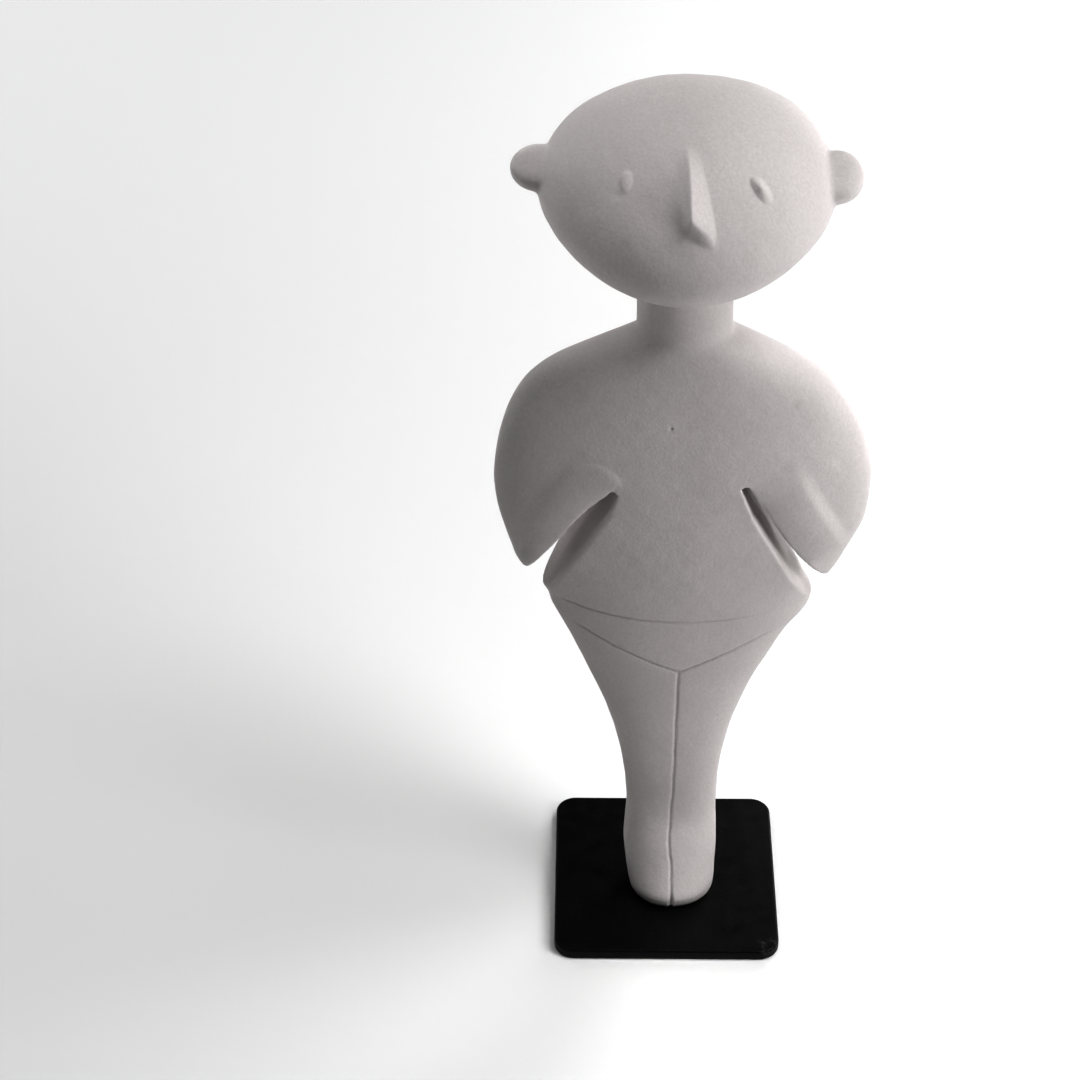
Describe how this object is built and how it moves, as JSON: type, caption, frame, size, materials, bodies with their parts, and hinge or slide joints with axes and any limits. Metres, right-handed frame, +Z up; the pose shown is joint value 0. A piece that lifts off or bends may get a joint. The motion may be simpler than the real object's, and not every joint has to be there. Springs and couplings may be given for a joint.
{
  "type": "figurine",
  "caption": "Schematic standing figurine with a wide, tilted-back oval head and rounded slab arms, cast in one piece, on a thin square plate.",
  "frame": {"origin": "middle of the base plate's underside, where the object rests", "axes": "+Z up, along the figure; the figure faces -Y; +X is on the viewer's right"},
  "size_m": [0.0776, 0.0508, 0.1999],
  "materials": {
    "white_cast_stone": "matt white cast stone with a very fine grain",
    "black_plate": "satin black with a fine grain and a slightly rounded rim"
  },
  "bodies": {
    "root": {"figure": "white_cast_stone", "base_plate": "black_plate"}
  },
  "joints": []
}
